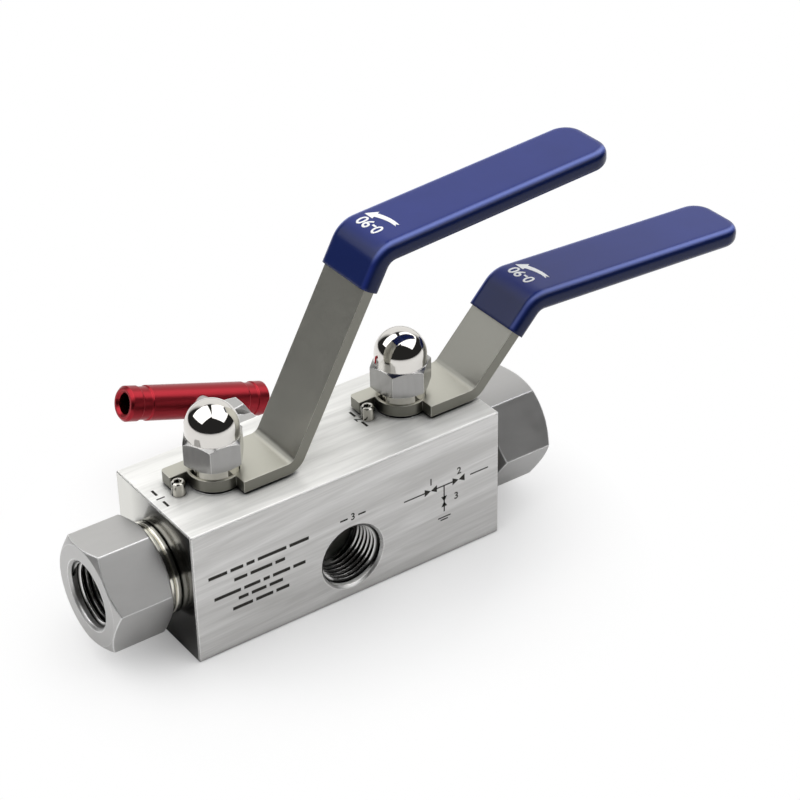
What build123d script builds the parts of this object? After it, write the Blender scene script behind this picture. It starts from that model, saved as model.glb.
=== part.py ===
from build123d import *
import math
import os
from collections import namedtuple

# Instrument valve manifold: a square steel block with two quarter-turn ball valves in line, a threaded
# vent port between them, and a needle valve behind that bleeds the bore into the vent port.
# Frame: +X from inlet to outlet, +Y to the back, +Z up, origin at the centre of the block's underside.
# Millimetres. Levers stand open, along +X; the bleed valve stands closed.

# ---- Block ----
BLOCK_LENGTH = 109.8
BLOCK_WIDTH = 42.5
BLOCK_HEIGHT = 45.0
EDGE_BREAK = 0.4
BORE_DEPTH = 22.4             # flow axis below the top face
BORE_RADIUS = 5.0
STEM_SETBACK = 21.5           # stem to the block's end

# ---- Ports: 1/2 inch pipe thread, bored to the root of the thread ----
PORT_RADIUS = 10.5
PORT_MOUTH_RADIUS = 11.3
PORT_MOUTH_ANGLE = 45.0       # flare of the mouth, from the port's axis
PORT_DEPTH = 17.0
VENT_DEPTH = 15.0
VENT_HEIGHT = 14.5            # above the underside

# ---- End connectors ----
CONNECTOR_FLATS = 32.0
CONNECTOR_HEX_LENGTH = 19.7
CONNECTOR_COLLAR_RADIUS = 14.5
CONNECTOR_COLLAR_LENGTH = 2.1
CONNECTOR_NOSE_RADIUS = 12.4
SEAL_RING_LENGTH = 1.95
O_RING_WIDTH = 2.0
O_RING_DEPTH = 1.4
HEX_CHAMFER_ANGLE = 30.0
INLET_CONNECTOR_TURN = 7.8    # each hexagon stops where its thread is tight
OUTLET_CONNECTOR_TURN = 1.4

# ---- Ball valves ----
BALL_RADIUS = 8.5
CAVITY_CLEARANCE = 0.8        # round the ball
SEAT_REACH = 11.0             # ball centre to the back of a seat
SEAT_FACE = 5.5               # ball centre to the front of a seat
RUNNING_FIT = 0.05            # radial, ball in seats and stems in bores
SLOT_FLOOR = 5.8              # ball centre to the floor of the tang's slot
TANG_WIDTH = 4.0
TANG_LENGTH = 9.0
TANG_FIT = 0.1                # round the tang in its slot

# ---- Stems and glands, from the block's top downwards ----
STEM_RADIUS = 5.0
GLAND_RADIUS = 8.2
GLAND_LENGTH = 4.0
PACKING_RADIUS = 7.6
PACKING_LENGTH = 3.2
COLLAR_RADIUS = 7.0
COLLAR_LENGTH = 2.0
THRUST_LENGTH = 0.8
SPANNER_HOLE_RADIUS = 0.8
SPANNER_CIRCLE = 6.6

# ---- Levers ----
LEVER_THICKNESS = 3.7
LEVER_WIDTH = 20.2
LEVER_SHIFT = -2.25           # strip's centre line from the stem, across it
LEVER_LIFT = 0.9              # air between block and lever
STEM_FLATS = 8.0
EYE_RADIUS = 8.3              # disc left round the stem where the quadrant is cut away
TAB_REACH = 13.8
TAB_CORNER = 1.2
PLATE_BEND = 5.0              # to the middle of the strip
GRIP_BEND = 6.5
GRIP_RUN = 83.2
TIP_CORNER = 5.8
INLET_BEND_REACH = 20.4       # stem to the first bend
INLET_BLADE_LENGTH = 68.4
INLET_BLADE_ANGLE = 61.2
INLET_GRIP_ANGLE = 4.1
OUTLET_BEND_REACH = 19.4
OUTLET_BLADE_LENGTH = 33.5
OUTLET_BLADE_ANGLE = 46.5
OUTLET_GRIP_ANGLE = -2.8

# ---- Grips ----
GRIP_WALL = 1.5
GRIP_EDGE = 2.8
GRIP_SKIRT = 11.5             # sleeve below the upper bend

# ---- Stop pins ----
PIN_RADIUS = 2.1
PIN_BORE = 1.1
PIN_SLIT = 0.7
PIN_OFFSET = 12.5             # from the stem, towards the inlet
PIN_STAND = 4.4
PIN_SUNK = 5.0
STOP_GAP = 0.3                # pin to lever at either end of the turn

# ---- Lock washers and dome nuts ----
WASHER_RADIUS = 7.8
WASHER_LENGTH = 2.8
WASHER_SPLIT = 1.1
WASHER_SPLIT_ANGLE = -52.0
NUT_FLATS = 16.8
NUT_HEX_LENGTH = 8.6
NUT_SHOULDER = 2.7            # round part between hexagon and dome
DOME_RADIUS = 8.15
THREAD_TOP_GAP = 4.0          # stem's end below the inside of the dome's tip
NUT_CROWN = 5.0               # metal over the stem's end
INLET_NUT_TURN = 54.3
OUTLET_NUT_TURN = 40.3

# ---- Bleed valve, from the block's back face outwards ----
BLEED_BORE_RADIUS = 9.0
BLEED_BORE_DEPTH = 13.0
BONNET_THREAD_LENGTH = 9.0
ORIFICE_RADIUS = 2.0
PASSAGE_RADIUS = 1.75
PASSAGE_DROP = 8.1            # passage below the flow axis
GASKET_LENGTH = 0.8
GASKET_RADIUS = 11.0
BONNET_FLATS = 24.0
BONNET_HEX_LENGTH = 8.0
NECK_RADIUS = 7.0
NECK_END = 29.0
LOCK_NUT_FLATS = 17.0
LOCK_NUT_START = 17.0
LOCK_NUT_LENGTH = 4.5
PACKING_NUT_FLATS = 18.0
PACKING_NUT_START = 25.0
PACKING_NUT_LENGTH = 6.6
BLEED_PACKING_RADIUS = 5.6
BLEED_PACKING_START = 21.5
BLEED_PACKING_LENGTH = 5.0
BLEED_THREAD_RADIUS = 5.0
BLEED_THREAD_PITCH = 1.5
BLEED_TURNS = 1.5             # closed to open
BACK_SEAT = 18.0              # shoulder in the bonnet that stops the opened stem
BACK_SEAT_GAP = 0.75          # stem's shoulder to the back seat when open
BLEED_JOURNAL_RADIUS = 4.0
NEEDLE_ANGLE = 30.0           # cone, from its axis
NEEDLE_FIT = 0.05             # cone to the orifice's edge when closed
NEEDLE_NOSE = 1.8             # reach of the cone into the orifice
NEEDLE_HEAD = 2.4             # seat to the widest part of the cone
NEEDLE_FLANGE = 1.1
NEEDLE_SHANK_RADIUS = 2.5
NEEDLE_SHANK_LENGTH = 7.0

# ---- T bar ----
BAR_RADIUS = 5.8
BAR_LENGTH = 54.2
BAR_BORE = 3.4
BAR_REACH = 49.1              # block's back face to the bar's axis
BAR_TILT = 19.0               # outlet end lower
BAR_CHAMFER = 0.8
BAR_STEM_GRIP = 4.5           # stem's end beyond the bar's axis
GROOVE_START = 4.5
GROOVE_END = 8.5
GROOVE_DEPTH = 0.4
SET_SCREW_LENGTH = 8.0

OVERRUN = 1.0                 # how far a cutter runs past a face
SAME = 0.001                  # closer than this counts as the same place or length

Valve = namedtuple(
    "Valve", "name side bend_reach blade_length blade_angle grip_angle nut_turn connector_turn")
VALVES = [
    Valve("inlet", -1, INLET_BEND_REACH, INLET_BLADE_LENGTH, INLET_BLADE_ANGLE, INLET_GRIP_ANGLE,
          INLET_NUT_TURN, INLET_CONNECTOR_TURN),
    Valve("outlet", 1, OUTLET_BEND_REACH, OUTLET_BLADE_LENGTH, OUTLET_BLADE_ANGLE, OUTLET_GRIP_ANGLE,
          OUTLET_NUT_TURN, OUTLET_CONNECTOR_TURN),
]

# ---- Derived places ----
BLOCK_END = BLOCK_LENGTH / 2
BLOCK_BACK = BLOCK_WIDTH / 2
BORE_HEIGHT = BLOCK_HEIGHT - BORE_DEPTH
STEM_OFFSET = BLOCK_END - STEM_SETBACK
CAVITY_RADIUS = BALL_RADIUS + CAVITY_CLEARANCE
NOSE_LENGTH = STEM_SETBACK - SEAT_REACH
LEDGE = BLOCK_HEIGHT - GLAND_LENGTH - PACKING_LENGTH - COLLAR_LENGTH - THRUST_LENGTH
PLATE_BOTTOM = BLOCK_HEIGHT + LEVER_LIFT
PLATE_TOP = PLATE_BOTTOM + LEVER_THICKNESS
NUT_BOTTOM = PLATE_TOP + WASHER_LENGTH
DOME_CENTRE = NUT_BOTTOM + NUT_HEX_LENGTH + NUT_SHOULDER
STEM_TOP = DOME_CENTRE + DOME_RADIUS - NUT_CROWN - THREAD_TOP_GAP
STOP_FACE = PIN_RADIUS + STOP_GAP
BLEED_TRAVEL = BLEED_THREAD_PITCH * BLEED_TURNS
BAR_AXIS = BLOCK_BACK + BAR_REACH


# ---- Helpers ----
def turned(*corners):
    """Solid of revolution about Z from its (radius, height) corners."""
    return revolve(Plane.XZ * make_face(Polyline(*corners, close=True)), Axis.Z)


def tube(outer, inner, low, high):
    return turned((inner, low), (outer, low), (outer, high), (inner, high))


def rod(radius, low, high):
    return Pos(0, 0, (low + high) / 2) * Cylinder(radius, high - low)


def hexagon(flats, low, high):
    """Hexagonal prism along Z with its corners turned down at both ends."""
    corner = flats / math.sqrt(3)
    circle = flats / 2 - EDGE_BREAK / 2
    drop = (corner - circle) * math.tan(math.radians(HEX_CHAMFER_ANGLE))
    envelope = turned(
        (0, low), (circle, low), (corner, low + drop), (corner, high - drop), (circle, high), (0, high))
    prism = extrude(RegularPolygon(corner, 6), high - low).moved(Location((0, 0, low)))
    return prism & envelope


def port(depth):
    """Cutter for a pipe port: its mouth in the plane Z = 0, its depth along -Z."""
    flare = (PORT_MOUTH_RADIUS - PORT_RADIUS) / math.tan(math.radians(PORT_MOUTH_ANGLE))
    return turned(
        (0, -depth), (PORT_RADIUS, -depth), (PORT_RADIUS, -flare), (PORT_MOUTH_RADIUS, 0), (0, 0))


def end_frame(side):
    """Frame on an end face of the block, with Z outwards along the flow axis."""
    origin = (side * BLOCK_END, 0, BORE_HEIGHT)
    return Plane(origin, x_dir=(0, 1, 0), z_dir=(side, 0, 0)).location


def ball_frame(side, way=1):
    """Frame at a ball's centre, with Z along the flow axis: outwards, or inwards when way is -1."""
    origin = (side * STEM_OFFSET, 0, BORE_HEIGHT)
    return Plane(origin, x_dir=(0, 1, 0), z_dir=(side * way, 0, 0)).location


def stem_frame(side):
    """Frame on a stem's axis at the level of the underside."""
    return Location((side * STEM_OFFSET, 0, 0))


def vent_frame():
    return Plane((0, -BLOCK_BACK, VENT_HEIGHT), x_dir=(1, 0, 0), z_dir=(0, -1, 0)).location


def bleed_frame(height=BORE_HEIGHT):
    """Frame on the back face, with Z outwards along the bleed valve's axis."""
    return Plane((0, BLOCK_BACK, height), x_dir=(1, 0, 0), z_dir=(0, 1, 0)).location


def bar_frame():
    """Frame at the middle of the T bar, with Z along it."""
    tilt = math.radians(BAR_TILT)
    along = (math.cos(tilt), 0, -math.sin(tilt))
    return Plane((0, BAR_AXIS, BORE_HEIGHT), x_dir=(0, 1, 0), z_dir=along).location


# ---- Block ----
def valve_block():
    block = Box(BLOCK_LENGTH, BLOCK_WIDTH, BLOCK_HEIGHT, align=(Align.CENTER, Align.CENTER, Align.MIN))
    block = chamfer(block.edges(), EDGE_BREAK)
    block -= Pos(0, 0, BORE_HEIGHT) * Rot(0, 90, 0) * Cylinder(BORE_RADIUS, BLOCK_LENGTH)
    for side in (-1, 1):
        cavity = rod(CAVITY_RADIUS, -SEAT_REACH, SEAT_REACH)
        block -= cavity.moved(ball_frame(side))
        block -= rod(CONNECTOR_NOSE_RADIUS, -NOSE_LENGTH, 0).moved(end_frame(side))
        well = turned(
            (0, BORE_HEIGHT), (STEM_RADIUS + RUNNING_FIT, BORE_HEIGHT), (STEM_RADIUS + RUNNING_FIT, LEDGE),
            (PACKING_RADIUS, LEDGE), (PACKING_RADIUS, BLOCK_HEIGHT - GLAND_LENGTH),
            (GLAND_RADIUS, BLOCK_HEIGHT - GLAND_LENGTH), (GLAND_RADIUS, BLOCK_HEIGHT), (0, BLOCK_HEIGHT))
        block -= well.moved(stem_frame(side))
        pin_hole = rod(PIN_RADIUS, BLOCK_HEIGHT - PIN_SUNK, BLOCK_HEIGHT)
        block -= pin_hole.moved(stem_frame(side) * Location((-PIN_OFFSET, 0, 0)))
    block -= port(VENT_DEPTH).moved(vent_frame())
    block -= rod(BLEED_BORE_RADIUS, -BLEED_BORE_DEPTH, 0).moved(bleed_frame())
    block -= rod(ORIFICE_RADIUS, -BLOCK_BACK, -BLEED_BORE_DEPTH).moved(bleed_frame())
    passage = rod(PASSAGE_RADIUS, VENT_DEPTH - BLOCK_WIDTH, OVERRUN - BLEED_BORE_DEPTH)
    block -= passage.moved(bleed_frame(BORE_HEIGHT - PASSAGE_DROP))
    return block


# ---- End connectors ----
def connector(side, turn):
    collar_end = SEAL_RING_LENGTH + CONNECTOR_COLLAR_LENGTH
    outer_end = collar_end + CONNECTOR_HEX_LENGTH
    body = turned(
        (0, -NOSE_LENGTH), (CONNECTOR_NOSE_RADIUS - O_RING_DEPTH, -NOSE_LENGTH),
        (CONNECTOR_NOSE_RADIUS - O_RING_DEPTH, O_RING_WIDTH - NOSE_LENGTH),
        (CONNECTOR_NOSE_RADIUS, O_RING_WIDTH - NOSE_LENGTH), (CONNECTOR_NOSE_RADIUS, SEAL_RING_LENGTH),
        (CONNECTOR_COLLAR_RADIUS - EDGE_BREAK, SEAL_RING_LENGTH),
        (CONNECTOR_COLLAR_RADIUS, SEAL_RING_LENGTH + EDGE_BREAK), (CONNECTOR_COLLAR_RADIUS, collar_end),
        (0, collar_end))
    body += Rot(0, 0, turn) * hexagon(CONNECTOR_FLATS, collar_end, outer_end)
    body -= port(PORT_DEPTH).moved(Location((0, 0, outer_end)))
    body -= rod(BORE_RADIUS, -NOSE_LENGTH, outer_end)
    return body.moved(end_frame(side))


def seal_ring(side):
    rim = CONNECTOR_COLLAR_RADIUS - EDGE_BREAK
    ring = turned(
        (CONNECTOR_NOSE_RADIUS, 0), (rim, 0), (CONNECTOR_COLLAR_RADIUS, EDGE_BREAK),
        (CONNECTOR_COLLAR_RADIUS, SEAL_RING_LENGTH - EDGE_BREAK), (rim, SEAL_RING_LENGTH),
        (CONNECTOR_NOSE_RADIUS, SEAL_RING_LENGTH))
    return ring.moved(end_frame(side))


def o_ring(side):
    inner = CONNECTOR_NOSE_RADIUS - O_RING_DEPTH
    ring = tube(CONNECTOR_NOSE_RADIUS, inner, -NOSE_LENGTH, O_RING_WIDTH - NOSE_LENGTH)
    return ring.moved(end_frame(side))


# ---- Ball valves ----
def ball(side):
    solid = Sphere(BALL_RADIUS)
    solid -= Rot(0, 90, 0) * Cylinder(BORE_RADIUS, 2 * BALL_RADIUS)
    slot_width = TANG_WIDTH + 2 * TANG_FIT
    slot = Box(slot_width, 2 * BALL_RADIUS, BALL_RADIUS, align=(Align.CENTER, Align.CENTER, Align.MIN))
    solid -= slot.moved(Location((0, 0, SLOT_FLOOR)))
    return solid.moved(Location((side * STEM_OFFSET, 0, BORE_HEIGHT)))


def seat(side, way):
    """Ring seat on the inner (way -1) or outer (way 1) side of a ball."""
    ring = tube(CAVITY_RADIUS, BORE_RADIUS, SEAT_FACE, SEAT_REACH) - Sphere(BALL_RADIUS + RUNNING_FIT)
    return ring.moved(ball_frame(side, way))


def stem(side):
    tang_low = BORE_HEIGHT + SLOT_FLOOR + TANG_FIT
    tang_high = BORE_HEIGHT + BALL_RADIUS
    collar_low = LEDGE + THRUST_LENGTH
    collar_high = collar_low + COLLAR_LENGTH
    shaft = turned(
        (0, tang_high), (STEM_RADIUS, tang_high), (STEM_RADIUS, collar_low), (COLLAR_RADIUS, collar_low),
        (COLLAR_RADIUS, collar_high), (STEM_RADIUS, collar_high), (STEM_RADIUS, STEM_TOP - EDGE_BREAK),
        (STEM_RADIUS - EDGE_BREAK, STEM_TOP), (0, STEM_TOP))
    tang = Box(TANG_WIDTH, TANG_LENGTH, tang_high - tang_low, align=(Align.CENTER, Align.CENTER, Align.MIN))
    shaft += tang.moved(Location((0, 0, tang_low)))
    for way in (-1, 1):
        flat = Box(
            4 * STEM_RADIUS, STEM_RADIUS, STEM_TOP - PLATE_BOTTOM,
            align=(Align.CENTER, Align.MIN if way > 0 else Align.MAX, Align.MIN))
        shaft -= flat.moved(Location((0, way * STEM_FLATS / 2, PLATE_BOTTOM)))
    return shaft.moved(stem_frame(side))


def thrust_washer(side):
    ring = tube(PACKING_RADIUS, STEM_RADIUS + RUNNING_FIT, LEDGE, LEDGE + THRUST_LENGTH)
    return ring.moved(stem_frame(side))


def stem_packing(side):
    top = BLOCK_HEIGHT - GLAND_LENGTH
    ring = tube(PACKING_RADIUS, STEM_RADIUS + RUNNING_FIT, top - PACKING_LENGTH, top)
    return ring.moved(stem_frame(side))


def gland_screw(side):
    screw = tube(GLAND_RADIUS, STEM_RADIUS + RUNNING_FIT, BLOCK_HEIGHT - GLAND_LENGTH, BLOCK_HEIGHT)
    hole = rod(SPANNER_HOLE_RADIUS, BLOCK_HEIGHT - GLAND_LENGTH / 2, BLOCK_HEIGHT)
    for turn in (45, 225):
        screw -= Rot(0, 0, turn) * Pos(SPANNER_CIRCLE, 0, 0) * hole
    return screw.moved(stem_frame(side))


def stop_pin(side):
    low, high = BLOCK_HEIGHT - PIN_SUNK, BLOCK_HEIGHT + PIN_STAND
    pin = turned(
        (PIN_BORE, low), (PIN_RADIUS - EDGE_BREAK, low), (PIN_RADIUS, low + EDGE_BREAK),
        (PIN_RADIUS, high - EDGE_BREAK), (PIN_RADIUS - EDGE_BREAK, high), (PIN_BORE, high))
    slit = Box(2 * PIN_RADIUS, PIN_SLIT, 2 * (high - low), align=(Align.MAX, Align.CENTER, Align.CENTER))
    pin -= slit.moved(Location((0, 0, high)))
    return pin.moved(stem_frame(side) * Location((-PIN_OFFSET, 0, 0)))


# ---- Levers and grips, in a frame on the stem's axis ----
def lever_corners(valve):
    """Corners of the strip's middle line after the tab: first bend, second bend, far end."""
    blade, grip = math.radians(valve.blade_angle), math.radians(valve.grip_angle)
    level = PLATE_BOTTOM + LEVER_THICKNESS / 2
    first = Vector(valve.bend_reach, LEVER_SHIFT, level)
    second = first + Vector(math.cos(blade), 0, math.sin(blade)) * valve.blade_length
    end = second + Vector(math.cos(grip), 0, math.sin(grip)) * GRIP_RUN
    return first, second, end


def strip_along(corners, radii, width, thickness):
    """Flat strip bent along corners that lie in one upright plane."""
    path = FilletPolyline(*corners, radius=radii)
    section = Plane(corners[0], x_dir=(0, 1, 0), z_dir=path % 0) * Rectangle(width, thickness)
    return sweep(section, path=path)


def round_tip(strip, end, thickness, radius):
    """Round the strip's two corners, seen from above, at its far end."""
    corners = strip.edges().filter_by(
        lambda edge: abs(edge.length - thickness) < SAME and (edge.center() - end).length < radius * 2)
    return fillet(corners, radius)


def lever_blade(valve):
    first, second, end = lever_corners(valve)
    start = Vector(-TAB_REACH, LEVER_SHIFT, first.Z)
    strip = strip_along([start, first, second, end], (PLATE_BEND, GRIP_BEND), LEVER_WIDTH, LEVER_THICKNESS)
    strip = round_tip(strip, end, LEVER_THICKNESS, TIP_CORNER)
    low, height = PLATE_BOTTOM - OVERRUN, LEVER_THICKNESS + 2 * OVERRUN
    quadrant = Box(
        TAB_REACH + STOP_FACE + OVERRUN, LEVER_WIDTH + STOP_FACE, height,
        align=(Align.MAX, Align.MAX, Align.MIN))
    quadrant = quadrant.moved(Location((STOP_FACE, STOP_FACE, low)))
    quadrant -= rod(EYE_RADIUS, low, low + height)
    strip -= quadrant
    tab_back = LEVER_SHIFT + LEVER_WIDTH / 2
    strip = fillet(upright_edge(strip, -TAB_REACH, tab_back), TAB_CORNER)
    strip = fillet(upright_edge(strip, -TAB_REACH, STOP_FACE), EDGE_BREAK)
    eye = Circle(STEM_RADIUS) & Rectangle(4 * STEM_RADIUS, STEM_FLATS)
    strip -= extrude(eye, height).moved(Location((0, 0, low)))
    return strip.moved(stem_frame(valve.side))


def upright_edge(solid, x, y):
    """The edge of the plate that stands upright at x, y."""
    return solid.edges().filter_by(Axis.Z).filter_by(
        lambda edge: abs(edge.center().X - x) < SAME and abs(edge.center().Y - y) < SAME)


def grip(valve):
    first, second, end = lever_corners(valve)
    down = (first - second).normalized()
    out = (end - second).normalized()
    mouth = second + down * GRIP_SKIRT
    tip = end + out * GRIP_WALL
    thickness = LEVER_THICKNESS + 2 * GRIP_WALL
    sleeve = strip_along([mouth, second, tip], (GRIP_BEND,), LEVER_WIDTH + 2 * GRIP_WALL, thickness)
    sleeve = round_tip(sleeve, tip, thickness, TIP_CORNER + GRIP_WALL)
    rims = sleeve.edges().filter_by(
        lambda edge: abs(edge.length - thickness) > SAME and (edge.center() - mouth).dot(down) < -SAME)
    sleeve = fillet(rims, GRIP_EDGE)
    return sleeve.moved(stem_frame(valve.side)) - lever_blade(valve)


def lock_washer(side):
    ring = tube(WASHER_RADIUS, STEM_RADIUS, PLATE_TOP, NUT_BOTTOM)
    split = Box(
        2 * WASHER_RADIUS, WASHER_SPLIT, 3 * WASHER_LENGTH, align=(Align.MIN, Align.CENTER, Align.CENTER))
    ring -= split.moved(Location((0, 0, PLATE_TOP), (0, 0, WASHER_SPLIT_ANGLE)))
    return ring.moved(stem_frame(side))


def dome_nut(side, turn):
    hex_top = NUT_BOTTOM + NUT_HEX_LENGTH
    nut = Rot(0, 0, turn) * hexagon(NUT_FLATS, NUT_BOTTOM, hex_top)
    nut += rod(DOME_RADIUS, hex_top, DOME_CENTRE)
    nut += Pos(0, 0, DOME_CENTRE) * Sphere(DOME_RADIUS)
    nut -= rod(STEM_RADIUS, NUT_BOTTOM, DOME_CENTRE + DOME_RADIUS - NUT_CROWN)
    return nut.moved(stem_frame(side))


# ---- Bleed valve: heights in its frame are distances from the block's back face ----
def bleed_bonnet():
    hex_start = GASKET_LENGTH
    hex_end = hex_start + BONNET_HEX_LENGTH
    bonnet = rod(BLEED_BORE_RADIUS, -BONNET_THREAD_LENGTH, hex_start)
    bonnet += hexagon(BONNET_FLATS, hex_start, hex_end)
    bonnet += rod(NECK_RADIUS, hex_end, NECK_END)
    bonnet -= turned(
        (0, -BONNET_THREAD_LENGTH), (BLEED_THREAD_RADIUS + RUNNING_FIT, -BONNET_THREAD_LENGTH),
        (BLEED_THREAD_RADIUS + RUNNING_FIT, BACK_SEAT),
        (BLEED_JOURNAL_RADIUS + RUNNING_FIT, BACK_SEAT),
        (BLEED_JOURNAL_RADIUS + RUNNING_FIT, BLEED_PACKING_START),
        (BLEED_PACKING_RADIUS, BLEED_PACKING_START), (BLEED_PACKING_RADIUS, NECK_END), (0, NECK_END))
    return bonnet.moved(bleed_frame())


def bleed_gasket():
    return tube(GASKET_RADIUS, BLEED_BORE_RADIUS, 0, GASKET_LENGTH).moved(bleed_frame())


def bleed_lock_nut():
    nut = hexagon(LOCK_NUT_FLATS, LOCK_NUT_START, LOCK_NUT_START + LOCK_NUT_LENGTH)
    nut -= rod(NECK_RADIUS, LOCK_NUT_START, LOCK_NUT_START + LOCK_NUT_LENGTH)
    return nut.moved(bleed_frame())


def bleed_packing():
    end = BLEED_PACKING_START + BLEED_PACKING_LENGTH
    ring = tube(BLEED_PACKING_RADIUS, BLEED_JOURNAL_RADIUS + RUNNING_FIT, BLEED_PACKING_START, end)
    return ring.moved(bleed_frame())


def bleed_follower():
    start = BLEED_PACKING_START + BLEED_PACKING_LENGTH
    ring = tube(BLEED_PACKING_RADIUS, BLEED_JOURNAL_RADIUS + RUNNING_FIT, start, NECK_END)
    return ring.moved(bleed_frame())


def bleed_packing_nut():
    end = PACKING_NUT_START + PACKING_NUT_LENGTH
    nut = hexagon(PACKING_NUT_FLATS, PACKING_NUT_START, end)
    nut -= rod(NECK_RADIUS, PACKING_NUT_START, NECK_END)
    nut -= rod(BLEED_JOURNAL_RADIUS + RUNNING_FIT, NECK_END, end)
    return nut.moved(bleed_frame())


def bleed_needle():
    """Tip that slides with the stem and doesn't turn; heights from the seat's plane."""
    slope = math.tan(math.radians(NEEDLE_ANGLE))
    at_seat = ORIFICE_RADIUS - NEEDLE_FIT
    nose, head = at_seat - NEEDLE_NOSE * slope, at_seat + NEEDLE_HEAD * slope
    flange_end = NEEDLE_HEAD + NEEDLE_FLANGE
    tip = turned(
        (0, -NEEDLE_NOSE), (nose, -NEEDLE_NOSE), (head, NEEDLE_HEAD), (head, flange_end),
        (NEEDLE_SHANK_RADIUS, flange_end), (NEEDLE_SHANK_RADIUS, flange_end + NEEDLE_SHANK_LENGTH),
        (0, flange_end + NEEDLE_SHANK_LENGTH))
    return tip.moved(bleed_frame() * Location((0, 0, -BLEED_BORE_DEPTH)))


def bleed_stem():
    start = NEEDLE_HEAD + NEEDLE_FLANGE + RUNNING_FIT - BLEED_BORE_DEPTH
    thread_end = BACK_SEAT - BACK_SEAT_GAP - BLEED_TRAVEL
    shaft = turned(
        (0, start), (BLEED_JOURNAL_RADIUS, start), (BLEED_THREAD_RADIUS, start + 1),
        (BLEED_THREAD_RADIUS, thread_end), (BLEED_JOURNAL_RADIUS, thread_end),
        (BLEED_JOURNAL_RADIUS, BAR_REACH + BAR_STEM_GRIP), (0, BAR_REACH + BAR_STEM_GRIP))
    shaft -= rod(NEEDLE_SHANK_RADIUS + RUNNING_FIT, start, start + NEEDLE_SHANK_LENGTH + RUNNING_FIT)
    return shaft.moved(bleed_frame())


def bleed_bar():
    half = BAR_LENGTH / 2
    outline = [(BAR_BORE + BAR_CHAMFER, half), (BAR_BORE, half - BAR_CHAMFER)]
    outline += [(BAR_BORE, BAR_CHAMFER - half), (BAR_BORE + BAR_CHAMFER, -half)]
    groove = BAR_RADIUS - GROOVE_DEPTH
    outline += [(BAR_RADIUS - BAR_CHAMFER, -half), (BAR_RADIUS, BAR_CHAMFER - half)]
    for low, high in ((GROOVE_START - half, GROOVE_END - half), (half - GROOVE_END, half - GROOVE_START)):
        outline += [(BAR_RADIUS, low), (groove, low + GROOVE_DEPTH), (groove, high - GROOVE_DEPTH),
                    (BAR_RADIUS, high)]
    outline += [(BAR_RADIUS, half - BAR_CHAMFER), (BAR_RADIUS - BAR_CHAMFER, half)]
    bar = turned(*outline).moved(bar_frame())
    socket = rod(BLEED_JOURNAL_RADIUS, BAR_REACH - 2 * BAR_RADIUS, BAR_REACH + BAR_STEM_GRIP)
    return bar - socket.moved(bleed_frame())


def bleed_set_screw():
    screw = rod(BAR_BORE, BLEED_JOURNAL_RADIUS, BLEED_JOURNAL_RADIUS + SET_SCREW_LENGTH)
    return screw.moved(bar_frame())


# ---- Assembly ----
def make_parts():
    parts = {
        "valve_block": valve_block(),
        "bleed_bonnet": bleed_bonnet(),
        "bleed_gasket": bleed_gasket(),
        "bleed_lock_nut": bleed_lock_nut(),
        "bleed_packing": bleed_packing(),
        "bleed_follower": bleed_follower(),
        "bleed_packing_nut": bleed_packing_nut(),
        "bleed_needle": bleed_needle(),
        "bleed_stem": bleed_stem(),
        "bleed_bar": bleed_bar(),
        "bleed_set_screw": bleed_set_screw(),
    }
    for valve in VALVES:
        name, side = valve.name, valve.side
        parts[f"{name}_connector"] = connector(side, valve.connector_turn)
        parts[f"{name}_seal_ring"] = seal_ring(side)
        parts[f"{name}_o_ring"] = o_ring(side)
        parts[f"{name}_inner_seat"] = seat(side, -1)
        parts[f"{name}_outer_seat"] = seat(side, 1)
        parts[f"{name}_ball"] = ball(side)
        parts[f"{name}_stem"] = stem(side)
        parts[f"{name}_thrust_washer"] = thrust_washer(side)
        parts[f"{name}_stem_packing"] = stem_packing(side)
        parts[f"{name}_gland_screw"] = gland_screw(side)
        parts[f"{name}_stop_pin"] = stop_pin(side)
        parts[f"{name}_lever_blade"] = lever_blade(valve)
        parts[f"{name}_grip"] = grip(valve)
        parts[f"{name}_lock_washer"] = lock_washer(side)
        parts[f"{name}_dome_nut"] = dome_nut(side, valve.nut_turn)
    return parts


os.makedirs("parts", exist_ok=True)
for node, solid in make_parts().items():
    export_step(solid, f"parts/{node}.step")
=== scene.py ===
import math

import bpy
from mathutils import Matrix, Vector


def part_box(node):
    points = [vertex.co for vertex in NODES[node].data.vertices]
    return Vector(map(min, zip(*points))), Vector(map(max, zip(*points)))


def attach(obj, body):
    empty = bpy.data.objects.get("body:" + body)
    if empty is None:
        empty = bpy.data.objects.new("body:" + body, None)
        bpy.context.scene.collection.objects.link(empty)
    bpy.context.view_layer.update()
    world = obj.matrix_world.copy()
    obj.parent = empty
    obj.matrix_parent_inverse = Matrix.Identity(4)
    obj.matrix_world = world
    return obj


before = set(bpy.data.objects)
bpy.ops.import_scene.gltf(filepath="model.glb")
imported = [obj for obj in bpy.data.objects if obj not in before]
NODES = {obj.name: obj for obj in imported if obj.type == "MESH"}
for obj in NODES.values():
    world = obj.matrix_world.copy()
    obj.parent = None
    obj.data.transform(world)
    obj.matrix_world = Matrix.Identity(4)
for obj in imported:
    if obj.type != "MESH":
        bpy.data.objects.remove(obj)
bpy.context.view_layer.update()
MM = 0.001


# ---------------------------------------------------------------- places read from the frame

BLOCK_LOW, BLOCK_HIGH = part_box("valve_block")
INLET_LOW, INLET_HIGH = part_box("inlet_connector")
OUTLET_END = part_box("outlet_connector")[1].x
FRONT = BLOCK_LOW.y
BACK = BLOCK_HIGH.y
TOP = BLOCK_HIGH.z
FLOW_AXIS = (INLET_LOW.z + INLET_HIGH.z) / 2


# ---------------------------------------------------------------- sizes that the frame doesn't give

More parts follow.
